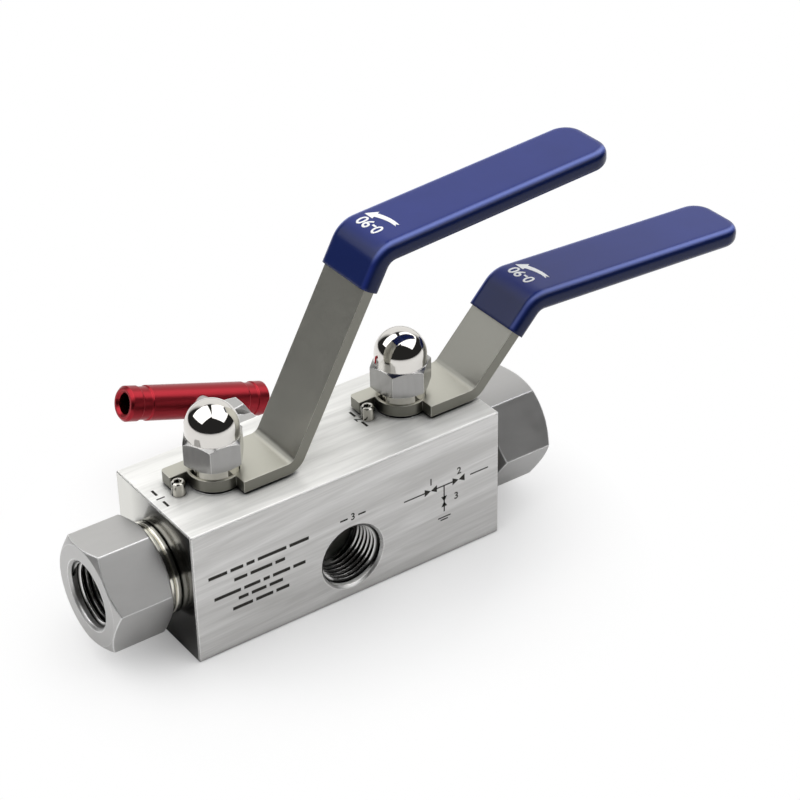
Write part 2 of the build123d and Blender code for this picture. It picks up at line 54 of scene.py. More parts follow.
VENT_AXIS = 14.5 * MM            # the vent port's height above the floor
VENT_DEPTH = 15.0 * MM
PORT_DEPTH = 17.0 * MM
PORT_ROOT = 10.5 * MM            # the radius of the ports' plain bores, where the threads' roots lie
PORT_CREST = 9.4 * MM            # the radius that the threads' ridges come in to
PORT_MOUTH = 0.8 * MM            # how far in from the face the threads start
PORT_PITCH = 1.814 * MM
BONNET_ROOT = 6.97 * MM
BONNET_CREST = 7.6 * MM
BONNET_PITCH = 1.25 * MM
BONNET_THREAD_START = BACK + 8.8 * MM    # where the bonnet's hexagon ends
NUT_HEX_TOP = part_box("inlet_dome_nut")[0].z + 8.6 * MM
COLLAR_END = BLOCK_HIGH.x + 4.05 * MM    # past the seal ring and collar, where the hexagon begins
GRIP_LENGTH = 84.6 * MM          # along X, from the grip's bend to its tip
ABOVE_ALL = 0.3                  # metres: higher than any piece


# ---------------------------------------------------------------- camera

def set_camera():
    """The photograph's viewpoint, from a fit of the object's edges to it."""
    data = bpy.data.cameras.new("camera")
    data.lens = 106.15
    data.sensor_width = 36.0
    data.clip_start = 0.01
    data.clip_end = 20.0
    camera = bpy.data.objects.new("camera", data)
    bpy.context.scene.collection.objects.link(camera)
    azimuth, elevation, roll = -34.79, 32.98, -1.06
    turn = Matrix.Rotation(math.radians(azimuth), 4, "Z")
    tip = Matrix.Rotation(math.radians(90 - elevation), 4, "X")
    lean = Matrix.Rotation(math.radians(roll), 4, "Z")
    place = Matrix.Translation((-0.31278, -0.49768, 0.43996))
    camera.matrix_world = place @ turn @ tip @ lean
    bpy.context.scene.camera = camera


# ---------------------------------------------------------------- node helpers

def add_node(tree, kind, inputs=None, **settings):
    """A node with its settings, and its inputs either linked to a socket or set to a value."""
    made = tree.nodes.new(kind)
    for name, value in settings.items():
        setattr(made, name, value)
    for key, value in (inputs or {}).items():
        if isinstance(value, bpy.types.NodeSocket):
            tree.links.new(value, made.inputs[key])
        else:
            made.inputs[key].default_value = value
    return made


def new_material(name):
    material = bpy.data.materials.new(name)
    material.use_nodes = True
    tree = material.node_tree
    tree.nodes.clear()
    output = tree.nodes.new("ShaderNodeOutputMaterial")
    return material, tree, output


def add_surface(tree, output, base, roughness, normal, metallic=1.0, specular=0.5):
    inputs = {
        "Base Color": base,
        "Metallic": metallic,
        "Roughness": roughness,
        "Specular IOR Level": specular,
        "Normal": normal,
    }
    shader = add_node(tree, "ShaderNodeBsdfPrincipled", inputs)
    tree.links.new(shader.outputs["BSDF"], output.inputs["Surface"])


def frame_coords(tree):
    """Coordinates in the shared frame, in metres. They ride with the body."""
    return add_node(tree, "ShaderNodeTexCoord").outputs["Object"]


def split(tree, vector):
    """The vector's parts, as outputs X, Y and Z."""
    return add_node(tree, "ShaderNodeSeparateXYZ", {"Vector": vector}).outputs


def facing_parts(tree):
    """Which way the surface faces on the object at rest, as outputs X, Y and Z."""
    return split(tree, add_node(tree, "ShaderNodeTexCoord").outputs["Normal"])


def noise(tree, scale, detail=4.0, roughness=0.55, distortion=0.0, lean=0.0):
    """Noise with that many grains per metre along X, Y and Z, leaned about Y by lean in radians."""
    turn = {"Vector": frame_coords(tree), "Rotation": (0, lean, 0)}
    leaned = add_node(tree, "ShaderNodeMapping", turn).outputs["Vector"]
    stretch = {"Vector": leaned, "Scale": scale}
    inputs = {
        "Vector": add_node(tree, "ShaderNodeMapping", stretch).outputs["Vector"],
        "Scale": 1.0,
        "Detail": detail,
        "Roughness": roughness,
        "Distortion": distortion,
    }
    return add_node(tree, "ShaderNodeTexNoise", inputs).outputs["Fac"]


def even_noise(tree, fineness, detail):
    return noise(tree, (fineness, fineness, fineness), detail)


def remap(tree, value, low, high, start=0.3, end=0.7):
    """value, between start and end, spread to low ... high and held there."""
    inputs = {"Value": value, "From Min": start, "From Max": end, "To Min": low, "To Max": high}
    return add_node(tree, "ShaderNodeMapRange", inputs).outputs["Result"]


def rise(tree, value, start=0.3, end=0.7):
    """0 up to start and 1 from end on."""
    return remap(tree, value, 0.0, 1.0, start, end)


def fall(tree, value, start, end):
    """1 up to start and 0 from end on."""
    return remap(tree, value, 1.0, 0.0, start, end)


def times(tree, first, second):
    return add_node(tree, "ShaderNodeMath", {0: first, 1: second}, operation="MULTIPLY").outputs["Value"]


def unsigned(tree, value):
    return add_node(tree, "ShaderNodeMath", {0: value}, operation="ABSOLUTE").outputs["Value"]


def mix_colors(tree, factor, first, second):
    inputs = {0: factor, 6: first, 7: second}
    return add_node(tree, "ShaderNodeMix", inputs, data_type="RGBA").outputs[2]


def mix_values(tree, factor, first, second):
    inputs = {0: factor, 2: first, 3: second}
    return add_node(tree, "ShaderNodeMix", inputs, data_type="FLOAT").outputs[0]


def bevel(tree, radius, samples=6):
    """The normal as if edges were rounded to this radius in mm."""
    inputs = {"Radius": radius * MM}
    return add_node(tree, "ShaderNodeBevel", inputs, samples=samples).outputs["Normal"]


def bump(tree, height, strength, depth, normal):
    """normal, tilted by a relief of depth in mm."""
    inputs = {"Height": height, "Strength": strength, "Distance": depth * MM, "Normal": normal}
    return add_node(tree, "ShaderNodeBump", inputs).outputs["Normal"]


# ---------------------------------------------------------------- colours and masks

CLOUD = 70                       # grains per metre of the metals' slow changes of tone
# The next colour is near-black painted shade, for bores and narrow gaps.
GAP_SHADE = (0.012, 0.012, 0.011, 1)
# The next colour is near-black painted shade, for thread roots.
THREAD_ROOT_SHADE = (0.014, 0.014, 0.013, 1)
POLISHED_COLLAR = (0.80, 0.78, 0.70, 1)
POLISHED_ROUGHNESS = 0.13
EDGE_GAIN = 2.1                  # how much paler than its metal an edge's painted highlight is
PALEST_EDGE = 0.97


def grey(value, warm=0.0):
    """A near-neutral colour, warmer than grey where warm is above 0."""
    return (value * (1 + warm), value, value * (1 - 1.6 * warm), 1.0)


def shades(color, contrast):
    """The colour made darker and lighter by the share contrast."""
    dark = [channel * (1 - contrast) for channel in color[:3]] + [1.0]
    light = [min(1.0, channel * (1 + contrast)) for channel in color[:3]] + [1.0]
    return dark, light


def mottled(tree, pattern, color, contrast):
    """The colour, varied by the share contrast where the pattern is low and high."""
    dark, light = shades(color, contrast)
    return mix_colors(tree, rise(tree, pattern), dark, light)


def shaded_in_gaps(tree, base, reach=11.0, black=0.08, unshaded=0.32):
    """base, going to near-black painted shade deep in bores and in narrow gaps.

    reach is in mm. The last two are the shares of open sky where the painted shade is full and where it
    ends.
    """
    inputs = {"Distance": reach * MM}
    open_sky = add_node(tree, "ShaderNodeAmbientOcclusion", inputs, samples=6).outputs["AO"]
    return mix_colors(tree, rise(tree, open_sky, black, unshaded), GAP_SHADE, base)


def shaded_roots(tree, base, along, height):
    """base, with near-black painted shade in the roots of a thread about the axis along, at that height.
    """
    lowered = {0: frame_coords(tree), 1: (0, 0, -height)}
    centred = add_node(tree, "ShaderNodeVectorMath", lowered, operation="ADD").outputs["Vector"]
    flat = {0: centred, 1: [0.0 if axis == along else 1.0 for axis in "XYZ"]}
    spread = add_node(tree, "ShaderNodeVectorMath", flat, operation="MULTIPLY").outputs["Vector"]
    radius = add_node(tree, "ShaderNodeVectorMath", {0: spread}, operation="LENGTH").outputs["Value"]
    past_crest = rise(tree, radius, PORT_CREST + 0.10 * MM, PORT_CREST + 0.70 * MM)
    before_face = fall(tree, radius, PORT_ROOT + 0.2 * MM, PORT_ROOT + 0.4 * MM)
    return mix_colors(tree, times(tree, past_crest, before_face), base, THREAD_ROOT_SHADE)


def polished_band(tree):
    """1 on the connectors' collars and seal rings, which are polished, and 0 elsewhere."""
    out = unsigned(tree, split(tree, frame_coords(tree))["X"])
    past_block = rise(tree, out, BLOCK_HIGH.x, BLOCK_HIGH.x + 0.1 * MM)
    before_hexagon = fall(tree, out, COLLAR_END - 0.1 * MM, COLLAR_END)
    return times(tree, past_block, before_hexagon)


def rounding(tree, radius):
    """The normal as if edges had this radius in mm, and how much it turns there, 0 to 1."""
    rounded = bevel(tree, radius)
    plain = add_node(tree, "ShaderNodeNewGeometry").outputs["Normal"]
    turned = add_node(tree, "ShaderNodeVectorMath", {0: rounded, 1: plain}, operation="DOT_PRODUCT")
    return rounded, fall(tree, turned.outputs["Value"], 0.90, 0.985)


# ---------------------------------------------------------------- metals

MILLED = (130, 500, 60)          # grains per metre along X, Y and Z
TURNED = (2600, 2600, 2600)


def metal(name, color, roughness, grain, *, spread, contrast, relief, edge, cloudy=0.2, reach=11.0):
    """Machined or drawn metal, with a painted highlight on its edges and painted shade in its gaps.

    The connectors' collars are polished whatever the rest is. spread is how far the roughness strays,
    contrast how far the colour does, and cloudy how dark the clouds in it are. relief, edge and reach are
    in mm: the grain's depth, the edges' radius and the reach of the painted shade.
    """
    material, tree, output = new_material(name)
    fine = noise(tree, grain, detail=5.0, roughness=0.65)
    streaked = mottled(tree, fine, color, contrast)
    cloud = remap(tree, even_noise(tree, CLOUD, 3.0), 0.0, cloudy)
    clouded = mix_colors(tree, cloud, streaked, shades(color, contrast)[0])
    rounded, corner = rounding(tree, edge)
    # painted highlight: rounded edges are painted paler than the metal
    highlight_color = [min(PALEST_EDGE, value * EDGE_GAIN) for value in color[:3]] + [1]
    edge_highlighted = mix_colors(tree, corner, clouded, highlight_color)
    band = polished_band(tree)
    # painted shade darkens bores and narrow gaps; the polished collars are left out of it
    base = mix_colors(tree, band, shaded_in_gaps(tree, edge_highlighted, reach), POLISHED_COLLAR)
    dull = remap(tree, fine, roughness - spread, roughness + spread)
    rough = mix_values(tree, band, dull, POLISHED_ROUGHNESS)
    add_surface(tree, output, base, rough, bump(tree, fine, 0.6, relief, rounded))
    return material


def machined_steel(name):
    return metal(name, grey(0.48, 0.008), 0.40, MILLED,
                 spread=0.03, contrast=0.03, relief=0.0006, edge=0.7, cloudy=0.1, reach=5.0)


def dark_steel(name):
    return metal(name, (0.50, 0.485, 0.44, 1), 0.14, TURNED,
                 spread=0.03, contrast=0.06, relief=0.0003, edge=0.3, cloudy=0.1, reach=3.0)


def red_anodised(name):
    return metal(name, (0.30, 0.021, 0.030, 1), 0.31, TURNED,
                 spread=0.02, contrast=0.03, relief=0.0001, edge=0.3, cloudy=0.05)


def mark_ink(name):
    return metal(name, grey(0.035, 0.06), 0.5, (900, 900, 900),
                 spread=0.05, contrast=0.2, relief=0.002, edge=0.02)


def thread_steel(name, along, height):
    """Freshly cut thread about the axis along, at that height: bright crests, painted shade in the roots.
    """
    material, tree, output = new_material(name)
    fine = even_noise(tree, 1200, 4.0)
    cut = mottled(tree, fine, grey(0.74, 0.01), 0.05)
    base = shaded_roots(tree, cut, along, height)
    normal = bump(tree, fine, 0.4, 0.0008, bevel(tree, 0.12))
    add_surface(tree, output, base, remap(tree, fine, 0.16, 0.22), normal)
    return material


def brushed_block(name):
    """Bar stock with long brush marks along the flow on four sides, and smooth ends.

    Two tones are painted for the photograph's light: the ends go from dark in front to pale behind, in
    place of a reflection, and the top is whiter and less metallic than the sides.
    """
    material, tree, output = new_material(name)
    wide = noise(tree, (16, 230, 230), detail=4.0, roughness=0.6, distortion=0.6, lean=0.05)
    fine = noise(tree, (60, 1500, 1500), detail=3.0, roughness=0.6, distortion=0.3, lean=0.03)
    streaks = rise(tree, wide, 0.36, 0.62)
    broad = mix_colors(tree, streaks, grey(0.50, 0.012), grey(0.66, 0.008))
    brushed = mix_colors(tree, remap(tree, fine, 0.0, 0.3), broad, grey(0.45, 0.012))
    whitish = mix_colors(tree, streaks, (0.74, 0.738, 0.715, 1), (0.93, 0.928, 0.905, 1))
    # painted reflection: the ends are painted dark in front and pale behind
    backward = rise(tree, split(tree, frame_coords(tree))["Y"], -3 * MM, 13 * MM)
    end_reflection = mix_colors(tree, backward, grey(0.13, 0.01), (0.66, 0.655, 0.62, 1))

    facing_way = facing_parts(tree)
    end_face = rise(tree, unsigned(tree, facing_way["X"]), 0.6, 0.8)
    top_face = rise(tree, facing_way["Z"], 0.6, 0.8)
    sides = mix_colors(tree, top_face, brushed, whitish)
    plain = mix_colors(tree, end_face, sides, end_reflection)
    rounded, corner = rounding(tree, 0.6)
    # painted highlight along the rounded edges
    edge_highlighted = mix_colors(tree, corner, plain, grey(0.96, 0.01))
    # painted shade in bores and gaps, and a tighter painted contact shadow where parts touch
    base = shaded_in_gaps(tree, shaded_in_gaps(tree, edge_highlighted), 2.2, 0.40, 0.80)

    rough = mix_values(tree, end_face, remap(tree, fine, 0.34, 0.46), 0.14)
    metallic = remap(tree, top_face, 1.0, 0.35, 0.0, 1.0)
    ridges = mix_values(tree, end_face, fine, 0.5)
    add_surface(tree, output, base, rough, bump(tree, ridges, 0.5, 0.004, rounded), metallic)
    return material


def lever_steel(name):
    """Strip steel with painted shade by tilt: level faces palest, then steep ones, gentle slopes and
    edges.
    """
    material, tree, output = new_material(name)
    level = unsigned(tree, facing_parts(tree)["Z"])
    fine = noise(tree, (900, 900, 900), detail=5.0, roughness=0.65)
    steep = mottled(tree, even_noise(tree, CLOUD, 3.0), (0.45, 0.445, 0.400, 1), 0.05)
    sloping = mix_colors(tree, rise(tree, level, 0.52, 0.66), steep, (0.27, 0.267, 0.240, 1))
    faces = mix_colors(tree, rise(tree, level, 0.88, 0.98), sloping, (0.53, 0.522, 0.462, 1))
    plain = mix_colors(tree, rise(tree, level, 0.12, 0.3), (0.20, 0.197, 0.172, 1), faces)
    rounded, corner = rounding(tree, 0.35)
    # painted highlight along the rounded edges
    edge_highlighted = mix_colors(tree, corner, plain, (0.60, 0.59, 0.53, 1))
    rough = remap(tree, fine, 0.34, 0.40)
    # painted shade in gaps
    add_surface(tree, output, shaded_in_gaps(tree, edge_highlighted), rough, bump(tree, fine, 0.5, 0.0003, rounded))
    return material


def polished_steel(name):
    """Polished domes over finely ground flats, which are painted half as bright: painted shade."""
    material, tree, output = new_material(name)
    height = split(tree, frame_coords(tree))["Z"]
    dome = rise(tree, height, NUT_HEX_TOP - 0.1 * MM, NUT_HEX_TOP + 0.1 * MM)
    grain = noise(tree, (500, 500, 120), detail=4.0)
    haze = remap(tree, even_noise(tree, 140, 3.0), 0.03, 0.06)
    bright = mix_colors(tree, haze, grey(0.66, 0.03), grey(0.60, 0.03))
    flats = mottled(tree, grain, grey(0.30, 0.012), 0.05)
    plain = mix_colors(tree, dome, flats, bright)
    rounded, corner = rounding(tree, 0.25)
    # painted highlight on the rounded edges and chamfers
    edge_highlighted = mix_colors(tree, corner, plain, grey(0.85, 0.01))
    # painted shade where parts touch
    base = shaded_in_gaps(tree, edge_highlighted, 1.5, 0.25, 0.65)
    rough = mix_values(tree, dome, remap(tree, grain, 0.13, 0.20), haze)
    add_surface(tree, output, base, rough, bump(tree, grain, 0.3, 0.0008, rounded))
    return material


# ---------------------------------------------------------------- plastics

def plastic(name, color, roughness, mottle=0.12):
    """Rubber, polymer or paint: mottled colour and a fine pebbled surface."""
    material, tree, output = new_material(name)
    base = mottled(tree, even_noise(tree, 60, 3.0), color, mottle)
    pebble = even_noise(tree, 900, 2.0)
    rough = remap(tree, pebble, roughness - 0.015, roughness + 0.015)
    normal = bump(tree, pebble, 0.4, 0.01, bevel(tree, 0.3, samples=4))
    add_surface(tree, output, base, rough, normal, metallic=0.0)
    return material


def seat_polymer(name):
    return plastic(name, (0.78, 0.76, 0.70, 1), 0.45)


def white_packing(name):
    return plastic(name, (0.80, 0.80, 0.78, 1), 0.55)


def black_rubber(name):
    return plastic(name, (0.025, 0.025, 0.027, 1), 0.55)


def blue_vinyl(name):
    """Glossy dipped sleeve.

    Its tones are painted for the photograph's light: a pale line along the upper long edges, in place of a
    highlight, dark sides, and a darker blue where the top slopes.
    """
    material, tree, output = new_material(name)
    plain = mottled(tree, even_noise(tree, 60, 3.0), (0.017, 0.029, 0.170, 1), 0.05)
    pebble = even_noise(tree, 2000, 2.0)
    rounded = bevel(tree, 1.3, samples=8)
    turned = add_node(tree, "ShaderNodeVectorTransform", {"Vector": rounded},
                      vector_type="NORMAL", convert_from="WORLD", convert_to="OBJECT")
    parts = split(tree, turned.outputs["Vector"])
    upward = parts["Z"]
    aside = unsigned(tree, parts["Y"])

    steep = times(tree, fall(tree, upward, 0.72, 0.96), fall(tree, aside, 0.2, 0.5))
    sloped = mix_colors(tree, steep, plain, (0.010, 0.019, 0.095, 1))
    shaded = mix_colors(tree, rise(tree, aside, 0.55, 0.85), sloped, (0.004, 0.010, 0.055, 1))
    crest = times(tree, rise(tree, aside, 0.20, 0.42), fall(tree, aside, 0.55, 0.80))
    upper_crest = times(tree, crest, rise(tree, upward, 0.42, 0.80))
    base = mix_colors(tree, upper_crest, shaded, (0.13, 0.175, 0.49, 1))

    normal = bump(tree, pebble, 0.4, 0.0002, rounded)
    rough = remap(tree, pebble, 0.20, 0.24)
    add_surface(tree, output, base, rough, normal, metallic=0.0, specular=0.22)
    return material


SLOT_MAKERS = (
    brushed_block, machined_steel, lever_steel, polished_steel, dark_steel,
    red_anodised, blue_vinyl, seat_polymer, white_packing, black_rubber,
)
FINISHES = {maker.__name__: maker(maker.__name__) for maker in SLOT_MAKERS}


def dress_nodes():
    """Each CAD node gets the finish of the slot that it was packed with."""
    for piece in NODES.values():
        packed = piece.data.materials[0].name.split(".")[0]
        piece.data.materials.clear()
        piece.data.materials.append(FINISHES[packed])


# ---------------------------------------------------------------- pieces made here

def new_mesh(name, points, faces):
    mesh = bpy.data.meshes.new(name)
    mesh.from_pydata(points, [], faces)
    mesh.validate()
    mesh.update()
    return mesh


def add_piece(name, mesh, material, body):
    mesh.materials.clear()
    mesh.materials.append(material)
    piece = bpy.data.objects.new(name, mesh)
    bpy.context.scene.collection.objects.link(piece)
    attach(piece, body)
    return piece


def facing(origin, normal, up):
    """A frame at origin whose Z is normal and whose Y is as near up as it can be."""
    z = Vector(normal).normalized()
    x = Vector(up).cross(z).normalized()
    y = z.cross(x)
    return Matrix.Translation(origin) @ Matrix((x, y, z)).transposed().to_4x4()


# ---------------------------------------------------------------- threads

def helix(name, place, root, crest, pitch, length, material, mouth=0.0):
    """A thread's ridge round place's Z axis, from 0 to length. crest below root makes it internal.

    Near its start the crest stays under the cone that a chamfer of size mouth cuts.
    """
    per_turn = 72
    base_width, tip_width = 0.90 * pitch, 0.14 * pitch
    start_run, end_run = 0.1 * per_turn, 0.4 * per_turn
    lowest = 0.02
    turns = (length - base_width) / pitch
    count = int(per_turn * turns)
    points = []
    for step in range(count + 1):
        angle = 2 * math.pi * step / per_turn
        rise_here = base_width / 2 + pitch * step / per_turn
        grown = min(1.0, step / start_run, (count - step) / end_run)
        if mouth:
            grown = min(grown, (rise_here - tip_width / 2) / mouth)
        top = root + (crest - root) * max(lowest, grown)
        section = ((-base_width, root), (-tip_width, top), (tip_width, top), (base_width, root))
        for width, radius in section:
            along = rise_here + width / 2
            points.append(place @ Vector((radius * math.cos(angle), radius * math.sin(angle), along)))
    faces = [(0, 1, 2, 3), tuple(4 * count + corner for corner in (3, 2, 1, 0))]
    for near in range(0, 4 * count, 4):
        for corner in range(4):
            following = (corner + 1) % 4
            faces.append((near + corner, near + 4 + corner, near + 4 + following, near + following))
    return add_piece(name, new_mesh(name, points, faces), material, "manifold_body")


def add_port_threads():
    foot = PORT_ROOT + 0.05 * MM
    cone = PORT_ROOT - PORT_CREST
    last_gap = 0.3 * MM
    flow_steel = thread_steel("port_thread_steel", "X", FLOW_AXIS)
    vent_steel = thread_steel("vent_thread_steel", "Y", VENT_AXIS)
    inlet_start = (INLET_LOW.x + PORT_MOUTH, 0, FLOW_AXIS)
    outlet_start = (OUTLET_END - PORT_MOUTH, 0, FLOW_AXIS)
    vent_start = (0, FRONT + PORT_MOUTH, VENT_AXIS)
    for label, start, inward, depth, material in (
        ("inlet", inlet_start, (1, 0, 0), PORT_DEPTH, flow_steel),
        ("outlet", outlet_start, (-1, 0, 0), PORT_DEPTH, flow_steel),
        ("vent", vent_start, (0, 1, 0), VENT_DEPTH, vent_steel),
    ):
        place = facing(Vector(start), inward, (0, 0, 1))
        length = depth - PORT_MOUTH - last_gap
        helix(f"{label}_port_thread", place, foot, PORT_CREST, PORT_PITCH, length, material, cone)


def add_bonnet_threads():
    """The bonnet's thread where it shows, on both sides of the lock nut."""
    lock_low, lock_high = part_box("bleed_lock_nut")
    packing_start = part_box("bleed_packing_nut")[0].y
    axis = (lock_low.z + lock_high.z) / 2
    for label, first, last in (
        ("inner", BONNET_THREAD_START, lock_low.y),
        ("outer", lock_high.y, packing_start),
    ):
        place = facing(Vector((0, first, axis)), (0, 1, 0), (0, 0, 1))
        length = last - first
        material = FINISHES["machined_steel"]
        helix(f"bonnet_thread_{label}", place, BONNET_ROOT, BONNET_CREST, BONNET_PITCH, length, material)


# ---------------------------------------------------------------- marks, in millimetres on a flat place

MARK_HEIGHT = 0.02               # how far a mark stands above its place, and reaches below it
FIGURE_WEIGHT = 0.018            # how much bolder than the font, as a share of its size


def flat_mark(name, outlines, place, material, body, slot):
    """Outlines on place's XY plane, as one thin piece."""
    points, faces = [], []
    for outline in outlines:
        first = len(points)
        count = len(outline)
        for height in (-MARK_HEIGHT, MARK_HEIGHT):
            points += [place @ Vector((u * MM, v * MM, height * MM)) for u, v in outline]
        faces.append(tuple(first + count + index for index in range(count)))
        for index in range(count):
            after = (index + 1) % count
            faces.append((first + index, first + after, first + count + after, first + count + index))
    return add_piece(name, new_mesh(name, points, faces), material, body)


def figures(name, text, size, place, material, body, slot):
    """Plain figures in Blender's own font."""
    curve = bpy.data.curves.new(name, "FONT")
    curve.body = text
    curve.size = size * MM
    curve.align_x = "CENTER"
    curve.align_y = "CENTER"
    curve.extrude = MARK_HEIGHT * MM
    curve.offset = FIGURE_WEIGHT * size * MM
    written = bpy.data.objects.new(name + "_curve", curve)
    bpy.context.scene.collection.objects.link(written)
    bpy.context.view_layer.update()
    mesh = bpy.data.meshes.new_from_object(written)
    bpy.data.objects.remove(written)
    mesh.transform(place)
    return add_piece(name, mesh, material, body)


def stroke(u0, v0, u1, v1, width):
    """The outline of a straight stroke."""
    start, end = Vector((u0, v0)), Vector((u1, v1))
    run = Vector((u1 - u0, v1 - v0)).normalized()
    side = Vector((-run.y, run.x)) * (width / 2)
    return [tuple(start + side), tuple(start - side), tuple(end - side), tuple(end + side)]


def level_strokes(width, v, *spans):
    """Strokes along one level, each from a lowest to a highest u."""
    return [stroke(u0, v, u1, v, width) for u0, u1 in spans]


def dash_row(u_centre, v, length, words, height):
    """A row of solid dashes about u_centre, in the proportions of words."""
    gap = 1.1
    scale = (length - gap * (len(words) - 1)) / sum(words)
    at = u_centre - length / 2
    row = []
    for word in words:
        row.append(stroke(at, v, at + word * scale, v, height))
        at += word * scale + gap
    return row


def schematic():
    """Two valves in line with a branch between them, drawn as on any flow diagram."""
    line = 0.45
    level = 26.3
    branch = 34.0
    shapes = level_strokes(line, level, (19.0, 24.6), (43.9, 50.8), (31.3, 37.4))
    shapes.append(stroke(branch, level, branch, 16.6, line))
    shapes += level_strokes(line, 14.6, (31.6, 36.4))
    shapes += level_strokes(line, 13.7, (32.6, 35.4))
    reach, half, lead = 2.3, 1.3, 4.4
    for centre in (29.0, 39.5):
        for way in (-1, 1):
            corner = centre + way * reach
            shapes.append([(centre, level), (corner, level - way * half), (corner, level + way * half)])
        shapes.append(stroke(centre - way * lead, level, centre - way * reach, level, line))
    reach, half, middle = 1.9, 1.1, 20.4
    for way in (-1, 1):
        end = middle + way * reach
        shapes.append([(branch, middle), (branch + way * half, end), (branch - way * half, end)])
    return shapes


def add_front_marks(look):
    """Plain dashes in place of lettering, the diagram, and figures for the valves and ports."""
    front = facing(Vector((0, FRONT, 0)), (0, -1, 0), (0, 0, 1))
    rows_middle, dash_height, figure_size, vent_level = -32.7, 1.15, 3.4, 29.0
    rows = []
    for height, length, words in (
        (28.2, 34.6, (3.2, 2.2, 1.4, 5.0, 3.4)),
        (24.4, 17.6, (2.4, 4.0, 1.8)),
        (20.2, 31.6, (4.2, 2.6, 1.0, 2.8, 2.0)),
        (17.3, 15.4, (1.6, 2.4, 2.2)),
        (14.2, 19.6, (3.0, 2.6, 2.0)),
    ):
        rows += dash_row(rows_middle, height, length, words, dash_height)
    flat_mark("etched_rows", rows, front, *look)
    flat_mark("etched_schematic", schematic(), front, *look)
    for name, text, u, v in (
        ("figure_first_valve", "1", 29.1, 29.4),
        ("figure_second_valve", "2", 39.7, 29.4),
        ("figure_vent_branch", "3", 38.6, 20.6),
        ("figure_vent_port", "3", 0.4, vent_level),
    ):
        figures(name, text, figure_size, front @ Matrix.Translation((u * MM, v * MM, 0)), *look)
    beside = level_strokes(0.6, vent_level, (-4.2, -1.5), (2.3, 5.0))
    flat_mark("figure_vent_dashes", beside, front, *look)


def add_top_marks(look):
    """A figure between two dashes near each stop pin."""
    figure_size = 3.8
    beside = level_strokes(0.8, 0, (-4.8, -1.8), (1.8, 4.8))
    for name, text, x in (("figure_inlet", "1", -51.6), ("figure_outlet", "2", 18.2)):
        place = facing(Vector((x * MM, 1.0 * MM, TOP)), (0, 0, 1), (1, 0, 0))
        figures(name, text, figure_size, place, *look)
        flat_mark(f"{name}_dashes", beside, place, *look)


def add_block_marks():
    look = (mark_ink("etched_mark"), "manifold_body", "brushed_block")
    add_front_marks(look)
    add_top_marks(look)


def polar(radius, angle):
    return (radius * math.cos(angle), radius * math.sin(angle))


def turn_arrow(radius, start, end, width):
    """A curved arrow about the origin, from angle start to end in degrees, with a notched tail."""
    steps = 12
    shaft, notch = 0.72, 0.08
    tail_half, widening = 0.32, 0.18
    inner, outer = [], []
    for step in range(steps + 1):
        share = step / steps
        angle = math.radians(start + (end - start) * shaft * share)
        half = width * (tail_half + widening * share)
        outer.append(polar(radius + half, angle))
        inner.append(polar(radius - half, angle))
    neck = math.radians(start + (end - start) * shaft)
    head = [polar(radius + width, neck), polar(radius, math.radians(end)), polar(radius - width, neck)]
    tail = polar(radius, math.radians(start + (end - start) * notch))
    return outer + head + inner[::-1] + [tail]


def look_down(sleeve, x, y):
    """Where a line straight down at x and y meets the sleeve: if it does, where, and facing which way."""
    struck, spot, normal, _ = sleeve.ray_cast(Vector((x, y, ABOVE_ALL)), (0, 0, -1))
    return struck, spot, normal


def on_top(sleeve, x, y):
    """The frame on the sleeve's top at x and y, whose Y points back to the nut."""
    _, spot, normal = look_down(sleeve, x, y)
    return facing(spot, normal, (-1, 0, 0))


def drape(piece, sleeve, place):
    """Lay a flat mark on the sleeve's curve: its upper side just above it, its lower side just below."""
    proud, sunk = 0.08 * MM, -0.05 * MM
    flat = place.inverted()
    for vertex in piece.data.vertices:
        upper = (flat @ vertex.co).z > 0
        struck, spot, normal = look_down(sleeve, vertex.co.x, vertex.co.y)
        if struck:
            vertex.co = spot + normal * (proud if upper else sunk)


def add_grip_marks():
    """White arrow and angle printed on each grip, just past its bend."""
    past_bend_arrow, across_arrow = 7.6 * MM, -0.2 * MM
    past_bend_angle, across_angle = 3.4 * MM, -0.6 * MM
    arc_u, arc_v = 4.0, 15.6     # the arc's own middle, which the arrow is moved back by
    white = plastic("printed_white", (0.86, 0.87, 0.88, 1), 0.4, 0.03)
    arrow = [(u - arc_u, arc_v - v) for u, v in turn_arrow(17.0, 98.0, 54.0, 2.0)]
    for side in ("inlet", "outlet"):
        sleeve = NODES[f"{side}_grip"]
        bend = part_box(f"{side}_grip")[1].x - GRIP_LENGTH
        look = (white, f"{side}_lever", "blue_vinyl")
        place = on_top(sleeve, bend + past_bend_arrow, across_arrow)
        drape(flat_mark(f"{side}_grip_arrow", [arrow], place, *look), sleeve, place)
        place = on_top(sleeve, bend + past_bend_angle, across_angle)
        drape(figures(f"{side}_grip_figure", "0-90", 5.6, place, *look), sleeve, place)


# ---------------------------------------------------------------- light, floor and background

BACKDROP_WAY = (0.573, 0.819, 0.0)       # from the object to the bright wall behind it
DIM_ROOM, BRIGHT_WALL = 0.025, 1.05


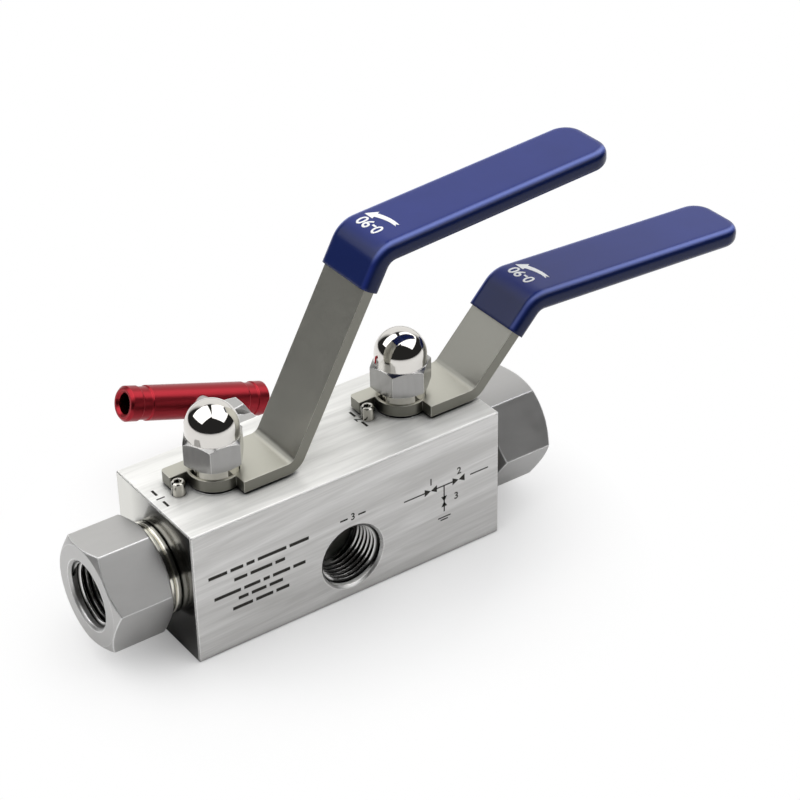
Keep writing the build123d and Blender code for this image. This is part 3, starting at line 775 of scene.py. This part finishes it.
def set_world():
    """White to the camera and through glass. Metal sees an almost black room with one bright wall.

    Is Glossy Ray isn't among the white rays: the wall stands in for the white background in reflections.
    """
    world = bpy.data.worlds.new("studio")
    bpy.context.scene.world = world
    world.use_nodes = True
    tree = world.node_tree
    tree.nodes.clear()
    direction = add_node(tree, "ShaderNodeTexCoord").outputs["Generated"]
    flat = add_node(tree, "ShaderNodeVectorMath", {0: direction, 1: (1, 1, 0)}, operation="MULTIPLY")
    level = add_node(tree, "ShaderNodeVectorMath", {0: flat.outputs["Vector"]}, operation="NORMALIZE")
    both = {0: level.outputs["Vector"], 1: BACKDROP_WAY}
    toward_wall = add_node(tree, "ShaderNodeVectorMath", both, operation="DOT_PRODUCT").outputs["Value"]
    across = rise(tree, toward_wall, 0.66, 0.84)
    below_top = fall(tree, split(tree, direction)["Z"], 0.70, 0.77)
    strength = remap(tree, times(tree, across, below_top), DIM_ROOM, BRIGHT_WALL, 0.0, 1.0)
    studio = add_node(tree, "ShaderNodeBackground", {"Color": (1, 0.995, 0.98, 1), "Strength": strength})
    white = add_node(tree, "ShaderNodeBackground", {"Color": (1, 1, 1, 1), "Strength": 1.0})
    path = add_node(tree, "ShaderNodeLightPath").outputs
    rays = {0: path["Is Camera Ray"], 1: path["Is Transmission Ray"]}
    seen = add_node(tree, "ShaderNodeMath", rays, operation="MAXIMUM").outputs["Value"]
    parts = {0: seen, 1: studio.outputs["Background"], 2: white.outputs["Background"]}
    mixed = add_node(tree, "ShaderNodeMixShader", parts)
    output = tree.nodes.new("ShaderNodeOutputWorld")
    tree.links.new(mixed.outputs["Shader"], output.inputs["Surface"])


def add_floor():
    """Pale paper that keeps the shadow. To the camera alone, it goes white away from the object."""
    half = 3.0
    below = -0.05 * MM
    corners = [(-half, -half), (half, -half), (half, half), (-half, half)]
    mesh = bpy.data.meshes.new("floor")
    mesh.from_pydata([(x, y, below) for x, y in corners], [], [(0, 1, 2, 3)])
    material, tree, output = new_material("floor_paper")
    paper = add_node(tree, "ShaderNodeBsdfDiffuse", {"Color": (0.90, 0.90, 0.90, 1)})
    glow = add_node(tree, "ShaderNodeEmission", {"Color": (1, 1, 1, 1), "Strength": 1.0})
    to_camera = add_node(tree, "ShaderNodeLightPath").outputs["Is Camera Ray"]
    coords = {0: frame_coords(tree)}
    reach = add_node(tree, "ShaderNodeVectorMath", coords, operation="LENGTH").outputs["Value"]
    white_share = times(tree, remap(tree, reach, 0.24, 1.0, 0.055, 0.105), to_camera)
    parts = {0: white_share, 1: paper.outputs["BSDF"], 2: glow.outputs["Emission"]}
    mixed = add_node(tree, "ShaderNodeMixShader", parts)
    tree.links.new(mixed.outputs["Shader"], output.inputs["Surface"])
    mesh.materials.append(material)
    floor = bpy.data.objects.new("floor", mesh)
    bpy.context.scene.collection.objects.link(floor)


def add_softbox(name, toward, along, size, power):
    """A lamp of that size in metres, seen from the object in direction toward, long side along."""
    middle, distance = Vector((0, 0, 0.05)), 1.1
    data = bpy.data.lights.new(name, "AREA")
    data.shape = "RECTANGLE"
    data.size, data.size_y = size
    data.energy = power
    lamp = bpy.data.objects.new(name, data)
    bpy.context.scene.collection.objects.link(lamp)
    outward = Vector(toward).normalized()
    sideways = Vector(along).cross(outward).normalized()
    lamp.matrix_world = facing(middle + outward * distance, outward, sideways)


def set_lamps():
    """Two large softboxes that almost meet overhead, as the polished domes show them."""
    add_softbox("left_tent", (-0.45, 0.26, 0.85), (-0.30, -0.93, 0.20), (1.35, 1.2), 10.5)
    add_softbox("right_tent", (0.49, -0.19, 0.85), (0.42, 0.88, -0.15), (1.5, 1.2), 11.5)


bpy.context.scene.view_settings.view_transform = "Standard"
set_camera()
set_world()
add_floor()
set_lamps()
dress_nodes()
add_port_threads()
add_bonnet_threads()
add_block_marks()
add_grip_marks()
